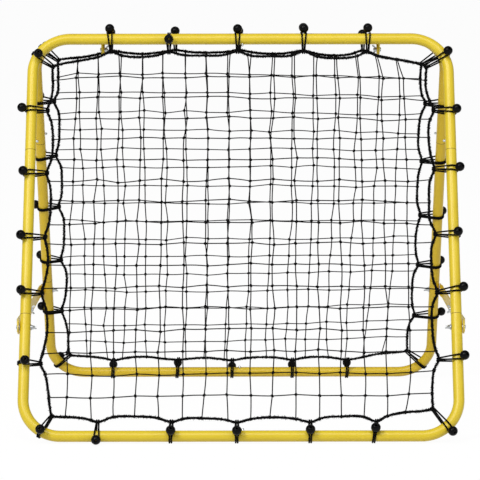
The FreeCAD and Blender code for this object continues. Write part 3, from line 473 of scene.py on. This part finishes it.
def resampled(points, step):
    """The closed line's points at an even step, and its length."""
    ring = points + points[:1]
    lengths = [0.0]
    for here, after in zip(ring, ring[1:]):
        lengths.append(lengths[-1] + (after - here).length)
    count = round(lengths[-1] / step)
    even, index = [], 0
    for number in range(count):
        target = lengths[-1] * number / count
        while lengths[index + 1] < target:
            index += 1
        share = (target - lengths[index]) / (lengths[index + 1] - lengths[index])
        even.append(ring[index].lerp(ring[index + 1], share))
    return even, lengths[-1]


def way_at(points, index):
    """The way that a closed line runs at one of its points."""
    return (points[(index + 1) % len(points)] - points[index - 1]).normalized()


def strands_of(points, length):
    """The strands of a laid rope, wound round its closed line, a little loose and lumpy."""
    turns = round(length / LAY)
    strands = []
    for number in range(STRANDS):
        strand, slack = [], 0.0
        for index, here in enumerate(points):
            way = way_at(points, index)
            angle = 2 * math.pi * (turns * index / len(points) + number / STRANDS)
            out = flat(-way.y, way.x) * math.cos(angle) + flat(0, 0, 1) * math.sin(angle)
            slack = SLACK_KEPT * slack + random.gauss(0, SLACK_ADDED)
            strand.append(here + out * (STRAND_OUT + slack))
        strands.append(strand)
    return strands


def loose_fibres(points):
    """Loose fibres that stand up from the rope: short thin hairs that lean along it."""
    fibres = []
    for _ in range(FIBRES):
        index = random.randrange(len(points))
        way = way_at(points, index)
        angle = random.uniform(0, 2 * math.pi)
        out = flat(-way.y, way.x) * math.cos(angle) + flat(0, 0, 1) * math.sin(angle)
        lean = way * random.choice((-1, 1)) * random.uniform(*FIBRE_LEAN)
        fibre = (out + lean).normalized() * random.uniform(*FIBRE_LENGTH)
        root = points[index] + out * FIBRE_ROOT
        tip = root + fibre + out * random.uniform(*FIBRE_CURL)
        fibres.append([root, root + fibre * 0.5, tip])
    return fibres


def crossings(points, axis, value):
    """The lowest and highest place where the closed rope line crosses a straight line."""
    found, other = [], 1 - axis
    for here, after in zip(points, points[1:] + points[:1]):
        if (here[axis] - value) * (after[axis] - value) <= 0 and here[axis] != after[axis]:
            share = (value - here[axis]) / (after[axis] - here[axis])
            found.append(here[other] + (after[other] - here[other]) * share)
    return min(found), max(found)


def drawn_in(share, start, most):
    """How far a line's end is drawn in: not at all up to the start, and the most at the edge."""
    return most * max(0.0, share - start) / (1.0 - start)


def slackened(line):
    """A line of twine with a small bow of its own between each two knots."""
    slack = [line[0]]
    for here, after in zip(line, line[1:]):
        run = after - here
        side = flat(-run.y, run.x).normalized() * random.gauss(0, BOW_SPREAD[0])
        bow = side + flat(0, 0, random.gauss(0, BOW_SPREAD[1]))
        for share in QUARTERS:
            slack.append(here + run * share + bow * math.sin(math.pi * share))
        slack.append(after)
    return slack


def knotted_net(first, drift, slant, rope_points):
    """The net's twine lines, its knots and its ends: each line kinks a little at every knot, goes
    slack between, and ends on the border rope."""
    places = range(NET_LINES)
    middle = (NET_LINES - 1) / 2
    knots = {}
    for i in places:
        for j in places:
            shift, lift = drift((i - middle) / middle, (j - middle) / middle)
            x = first[0] + MESH_WIDTH * i + shift + random.gauss(0, KNOT_SPREAD[0])
            y = first[1] + MESH_HEIGHT * j + lift + random.gauss(0, KNOT_SPREAD[1])
            knots[i, j] = flat(x, y, random.gauss(0, KNOT_SPREAD[2]))
    lines = []
    for i in places:
        column = [knots[i, j] for j in places]
        share = slant * (i - middle) / middle
        low_x = column[0].x + random.gauss(0, END_SPREAD) - slant * drawn_in(share, *LOWER_DRAW)
        high_x = column[-1].x + random.gauss(0, END_SPREAD) - slant * drawn_in(share, *UPPER_DRAW)
        low, high = crossings(rope_points, 0, low_x)[0], crossings(rope_points, 0, high_x)[1]
        lines.append([flat(low_x, low)] + column + [flat(high_x, high)])
    for j in places:
        row = [knots[i, j] for i in places]
        left_y = row[0].y + random.gauss(0, END_SPREAD)
        right_y = row[-1].y + random.gauss(0, END_SPREAD)
        right_y -= drawn_in((j - middle) / middle, *RIGHT_DRAW)
        left, right = crossings(rope_points, 1, left_y)[0], crossings(rope_points, 1, right_y)[1]
        lines.append([flat(left, left_y)] + row + [flat(right, right_y)])
    ends = [end for line in lines for end in (line[0], line[-1])]
    return [slackened(line) for line in lines], list(knots.values()), ends


def lumps(places, size):
    """Small tied knots: a squashed round lump at each place, each turned its own way."""
    shape = bmesh.new()
    squash, most_tilt = Matrix.Diagonal((1.15, 0.95, 0.9, 1.0)), 0.5
    for place in places:
        ball = bmesh.ops.create_icosphere(shape, subdivisions=1, radius=size)
        turn = Matrix.Rotation(random.uniform(0, math.pi), 4, "Z")
        tilt = Matrix.Rotation(random.uniform(-most_tilt, most_tilt), 4, "X")
        bmesh.ops.transform(shape, matrix=Matrix.Translation(place) @ turn @ tilt @ squash,
                            verts=ball["verts"])
    return mesh_of_shape(shape)


def dip_of(rope, tube):
    """How far the straight strands dip from the tube's far side to the thinner rope's."""
    return math.asin((TUBE_WRAP - ROPE_WRAP) / (tube - rope).length)


def strand_route(hook, pull, sign):
    """One strand of a bungee, closed round the rope and the tube. The two strands lie side by
    side on the inner face and open into a V on the outer face, where the ball holds them."""
    rope, tube, outwards, roll = hook
    up, ball = flat(0, 0, 1), math.radians(roll)
    along, rope_along = flat(-outwards.y, outwards.x), flat(-pull.y, pull.x)
    way = (tube - rope).normalized()
    tube_way, rope_way = way / way.dot(outwards), way / way.dot(pull)
    dip = dip_of(rope, tube)
    start, end = math.pi / 2 + dip, -math.pi / 2 - dip
    straight = (tube - rope).length * math.cos(dip)
    ball_to_rope = straight + (start - ball) * TUBE_WRAP
    points = []

    def aside_at(past_ball):
        """How far aside the strand runs, by its distance past the ball, on from the rope."""
        if past_ball < 0:
            return OPENED + (OPENED - TOGETHER) * past_ball / ball_to_rope
        return TOGETHER + (OPENED - TOGETHER) * math.exp(-(past_ball / CLOSING) ** 2)

    def lay(middle, radius, angle, aside, aside_way, across):
        """Adds the strand's point at an angle round the tube, the rope or a place between."""
        points.append(middle + aside_way * (sign * aside)
                      + across * (radius * math.cos(angle)) + up * (radius * math.sin(angle)))

    def lay_between(share, angle, aside):
        """Adds a point of a straight part, at its share of the way from the tube to the rope."""
        radius = TUBE_WRAP + (ROPE_WRAP - TUBE_WRAP) * share
        lay(tube.lerp(rope, share), radius, angle, aside, along.lerp(rope_along, share), way)

    for step in range(TUBE_WRAP_STEPS + 1):
        angle = start + (end - start) * step / TUBE_WRAP_STEPS
        lay(tube, TUBE_WRAP, angle, aside_at((ball - angle) * TUBE_WRAP), along, tube_way)
    for share in QUARTERS:
        lay_between(share, end, TOGETHER)
    for step in range(ROPE_WRAP_STEPS + 1):
        angle = end - (2 * math.pi + end - start) * step / ROPE_WRAP_STEPS
        lay(rope, ROPE_WRAP, angle, TOGETHER, rope_along, rope_way)
    for share in reversed(QUARTERS):
        lay_between(share, start, aside_at((ball - start) * TUBE_WRAP - straight * share))
    return points


def ball_place(hook):
    """A ball's middle and the way out through its bore: out on the tube, or past the tube's
    tangent and part of the way down the straight strands to the rope."""
    rope, tube, outwards, roll = hook
    out, up, ball = (tube - rope).normalized(), flat(0, 0, 1), math.radians(roll)
    angle = min(ball, math.pi / 2 + dip_of(rope, tube))
    slide = (ball - angle) * TUBE_WRAP
    bore_way = out * math.cos(angle) + up * math.sin(angle)
    onwards = up * math.cos(angle) - out * math.sin(angle)
    reach = math.sqrt((BALL + CORD + CORD_GAP) ** 2 - BALL_SEAT ** 2)
    # Strands that cross the tube at a slant run further along it, and the ball goes with them.
    along = flat(-outwards.y, outwards.x)
    slant = along * (TUBE_WRAP * math.cos(angle) * out.dot(along) * (1 / out.dot(outwards) - 1))
    return tube + bore_way * (TUBE_WRAP + reach) + onwards * slide + slant, bore_way


def turned(outline, steps):
    """A closed outline of points spun round the Z axis into a solid ring."""
    shape = bmesh.new()
    profile = [shape.verts.new(point) for point in outline]
    edges = [shape.edges.new(pair) for pair in zip(profile, profile[1:] + profile[:1])]
    bmesh.ops.spin(shape, geom=profile + edges, cent=(0, 0, 0), axis=(0, 0, 1), angle=2 * math.pi,
                   steps=steps, use_merge=True, use_duplicate=False)
    bmesh.ops.recalc_face_normals(shape, faces=shape.faces)
    return mesh_of_shape(shape)


def copies(one, places):
    """One mesh with a copy of another at each place, its Z axis turned the given way."""
    shape = bmesh.new()
    for place, way in places:
        turn = way.to_track_quat("Z", "Y").to_matrix().to_4x4()
        before = len(shape.verts)
        shape.from_mesh(one)
        shape.verts.ensure_lookup_table()
        bmesh.ops.transform(shape, matrix=Matrix.Translation(place) @ turn,
                            verts=shape.verts[before:])
    bpy.data.meshes.remove(one)
    return mesh_of_shape(shape)


def seam_lines():
    """Dark rings at the gaps where a post meets its corner tubes: painted shade of the gap, with
    the bare edge where the coat stops. The gap is 0.3 mm, and its dark ring is drawn 1.2 mm wide so
    that it shows."""
    inside, outside, half = TUBE - 0.9, TUBE + 0.06, 0.6
    outline = [flat(inside, 0, -half), flat(outside, 0, -half),
               flat(outside, 0, half), flat(inside, 0, half)]
    places = [(flat(side * POST_X, height), flat(0, 1)) for side in (-1, 1) for height in SEAMS]
    return copies(turned(outline, steps=40), places)


def bored_balls(hooks):
    """The bungee balls: each turned from its outline, with rolled edges at the bore and a fine
    parting line round its middle."""
    bore, rolled_edge, parting_depth, arc_steps = 2.5, 0.7, 0.12, 14
    bore_start, bore_end = -8.6, 9.2
    outline = [flat(bore, 0, bore_start), flat(bore, 0, bore_end)]
    low = math.asin((bore + rolled_edge) / BALL)
    for step in range(arc_steps + 1):
        angle = low + (math.pi - 2 * low) * step / arc_steps
        radius = BALL - (parting_depth if step == arc_steps / 2 else 0.0)
        outline.append(flat(radius * math.sin(angle), 0, radius * math.cos(angle)))
    return copies(turned(outline, steps=24), [ball_place(hook) for hook in hooks])


def placed(mesh, name):
    """Puts a mesh made in a frame's own plane into the object, in metres."""
    mesh.transform(MILLIMETRES @ FRAMES[name])
    return mesh


for name, places in BUNGEES.items():
    body = f"{name}_frame"
    hooks = hooks_of(places)
    route, pulls = rope_route(hooks, SAGS[name])
    even, rope_length = resampled(route, ROPE_STEP)
    strands = strands_of(even, rope_length)
    rope_mesh = placed(mesh_of_lines(strands, STRAND, roundness=1, closed=True), name)
    finished(f"{name}_laid_border_rope", rope_mesh, rope_fibre, body, "border_rope",
             f"{name}_border_rope")
    fibres = mesh_of_lines(loose_fibres(even), FIBRE, roundness=0, closed=False, tip=FIBRE_TIP)
    finished(f"{name}_rope_fibres", placed(fibres, name), rope_fibre, body, "border_rope")

    lines, knots, ends = knotted_net(FIRST_KNOT[name], DRIFTS[name], SLANTS[name], even)
    net_mesh = placed(mesh_of_lines(lines, TWINE, roundness=1, closed=False), name)
    finished(f"{name}_net_twine", net_mesh, twine, body, "net_twine", f"{name}_net")
    finished(f"{name}_net_knots", placed(lumps(knots, KNOT), name), twine, body, "net_twine")
    finished(f"{name}_net_ties", placed(lumps(ends, TIE), name), twine, body, "net_twine")

    cords = [strand_route(hook, pull, sign) for hook, pull in zip(hooks, pulls) for sign in (-1, 1)]
    cord_mesh = placed(mesh_of_lines(cords, CORD, roundness=2, closed=True), name)
    # The cords under the bottom bar are pressed flat on the floor.
    for vertex in cord_mesh.vertices:
        vertex.co.z = max(vertex.co.z, 0.0)
    finished(f"{name}_bungee_elastic", cord_mesh, elastic, body, "elastic_cord",
             f"{name}_bungee_cords", f"{name}_foot_bungee_cords")
    # Dark rings at the tube seams: painted shade of the seam gaps.
    finished(f"{name}_tube_seams", placed(seam_lines(), name), seam_gap_shade, body, "yellow_paint",
             smooth=False)
    ball_mesh = placed(bored_balls(hooks), name)
    finished(f"{name}_bored_balls", ball_mesh, plastic, body, "black_plastic",
             f"{name}_bungee_balls")


# Studio: a white floor, a large soft key lamp high on the left, a second one high above the
# camera, and a weak fill lamp low on the right.
def white_ground():
    """Matt white paper sweep, lit to white for the camera while it keeps the object's shadow."""
    material, tree, shader = new_material("matt white paper", 0.9)
    shader.inputs["Base Color"].default_value = hex_colour("#DEDEDE")
    rays = add(tree, "ShaderNodeLightPath")
    glow = add(tree, "ShaderNodeEmission", {"Color": (1, 1, 1, 1), "Strength": 1.03})
    seen = add(tree, "ShaderNodeMath", operation="MAXIMUM",
               inputs={0: rays.outputs["Is Camera Ray"], 1: rays.outputs["Is Glossy Ray"]})
    # The rest of what is seen is the lit paper, which holds the shadow.
    glow_share = add(tree, "ShaderNodeMath", {0: seen.outputs[0], 1: 0.93}, operation="MULTIPLY")
    mix = add(tree, "ShaderNodeMixShader",
              {0: glow_share.outputs[0], 1: shader.outputs[0], 2: glow.outputs[0]})
    tree.links.new(mix.outputs[0], tree.nodes["Material Output"].inputs["Surface"])
    return material


# The floor lies half a millimetre below the feet.
ground = bmesh.new()
bmesh.ops.create_grid(ground, x_segments=1, y_segments=1, size=150)
ground_mesh = mesh_of_shape(ground)
ground_mesh.transform(Matrix.Translation((0, 0, -0.0005)))
floor = bpy.data.objects.new("floor", ground_mesh)
floor.data.materials.append(white_ground())
bpy.context.scene.collection.objects.link(floor)

# The world lights the object weakly, and is white where the camera sees it.
world = bpy.data.worlds.new("studio")
bpy.context.scene.world = world
world.use_nodes = True
sky = world.node_tree
rays = add(sky, "ShaderNodeLightPath")
seen = add(sky, "ShaderNodeMath", operation="MAXIMUM",
           inputs={0: rays.outputs["Is Camera Ray"], 1: rays.outputs["Is Transmission Ray"]})
level = add(sky, "ShaderNodeMapRange", {"Value": seen.outputs[0], "To Min": 0.3, "To Max": 1.0})
sky.nodes["Background"].inputs["Color"].default_value = (1, 1, 1, 1)
sky.links.new(level.outputs["Result"], sky.nodes["Background"].inputs["Strength"])


def soft_lamp(name, place, size, power):
    """A square softbox that faces the object's middle."""
    light = bpy.data.lights.new(name, "AREA")
    light.shape = "SQUARE"
    light.size = size
    light.energy = power
    lamp = bpy.data.objects.new(name, light)
    lamp.location = place
    aim = Vector((0, 0, 0.45)) - Vector(place)
    lamp.rotation_euler = aim.to_track_quat("-Z", "Y").to_euler()
    bpy.context.scene.collection.objects.link(lamp)


soft_lamp("key softbox", (-4.8, -6.2, 6.8), 3.6, 500)
soft_lamp("top softbox", (0.3, -5.6, 7.6), 3.0, 215)
soft_lamp("fill softbox", (3.2, -3.0, 1.8), 2.5, 20)

# The camera, from the photograph's own perspective: long lens, a little above the frame's top.
camera = bpy.data.cameras.new("camera")
camera.sensor_width = 36.0
camera.lens = 184.14
viewer = bpy.data.objects.new("camera", camera)
eye = Vector((0.002134, -5.82103, 1.050175))
pitch, yaw, roll = (math.radians(angle) for angle in (6.3086, -0.04096, -0.08134))
level_way = Vector((math.sin(yaw), math.cos(yaw), 0))
forward = level_way * math.cos(pitch) - Vector((0, 0, math.sin(pitch)))
right = Vector((math.cos(yaw), -math.sin(yaw), 0))
up = right.cross(forward)
turned_right = right * math.cos(roll) + up * math.sin(roll)
turned_up = up * math.cos(roll) - right * math.sin(roll)
pose = Matrix((turned_right, turned_up, -forward)).transposed().to_4x4()
viewer.matrix_world = Matrix.Translation(eye) @ pose
bpy.context.scene.collection.objects.link(viewer)
bpy.context.scene.camera = viewer
bpy.context.scene.view_settings.view_transform = "Standard"
